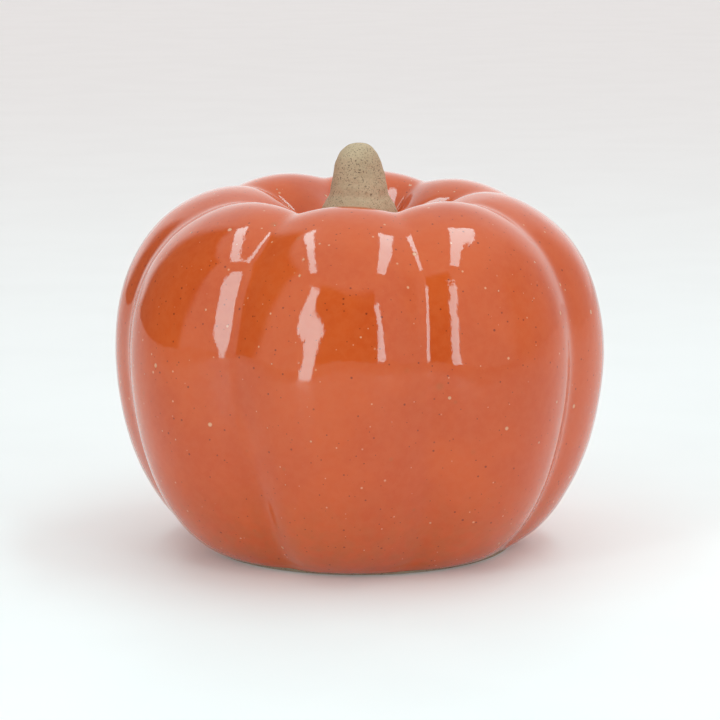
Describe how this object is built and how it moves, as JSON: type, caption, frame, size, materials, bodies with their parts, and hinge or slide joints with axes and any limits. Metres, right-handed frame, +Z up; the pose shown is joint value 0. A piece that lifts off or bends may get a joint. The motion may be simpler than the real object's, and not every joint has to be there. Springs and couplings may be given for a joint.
{
  "type": "ceramic pumpkin figure",
  "caption": "Free-standing hollow ceramic pumpkin ornament with a lobed glazed body, a bare clay stem and a flat foot.",
  "frame": {"origin": "on the floor under the middle of the pumpkin, in the plane of the flat foot", "axes": "+Z up along the stem, -Y towards the front, +X to the right as seen from the front"},
  "size_m": [0.1402, 0.1419, 0.1152],
  "materials": {
    "bare_stoneware": "matte, speckled",
    "orange_glaze": "gloss, speckled",
    "stem_stoneware": "matte, speckled",
    "luting_slip": "matte"
  },
  "bodies": {
    "root": {"body_shell": "bare_stoneware", "glaze_coat": "orange_glaze", "stem": "stem_stoneware", "stem_luting_slip": "luting_slip"}
  },
  "joints": []
}
